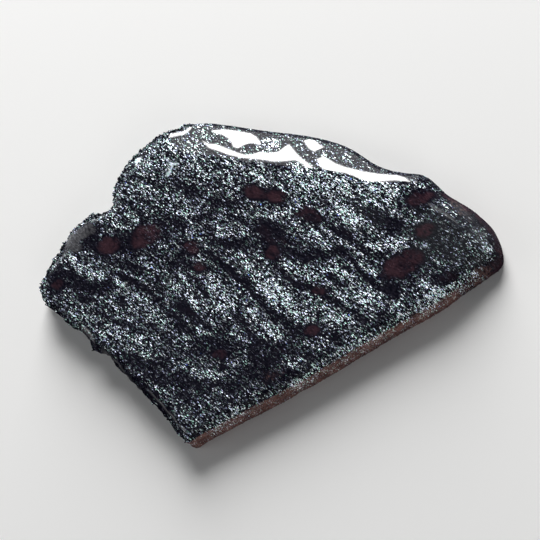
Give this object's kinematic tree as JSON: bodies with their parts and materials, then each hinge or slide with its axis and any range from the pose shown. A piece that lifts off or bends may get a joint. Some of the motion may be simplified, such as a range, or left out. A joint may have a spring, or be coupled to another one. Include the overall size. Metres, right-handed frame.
{
  "type": "specular hematite slab",
  "caption": "Thin polished slab of specular hematite with broken left edges, a rounded polished shoulder and tip, and a straight sawn edge.",
  "frame": {"origin": "under the middle of the slab's box, on the sawn back", "axes": "+X along the slab's length towards the rounded tip, +Y towards the polished shoulder, +Z out of the polished face"},
  "size_m": [0.0956, 0.0684, 0.0071],
  "materials": {
    "specular_hematite": "polished to a wet gloss over near-black stone packed with tiny mirror flakes, with dull maroon patches; broken and sawn where it isn't polished"
  },
  "bodies": {
    "root": {"hematite_slab": "specular_hematite"}
  },
  "joints": []
}
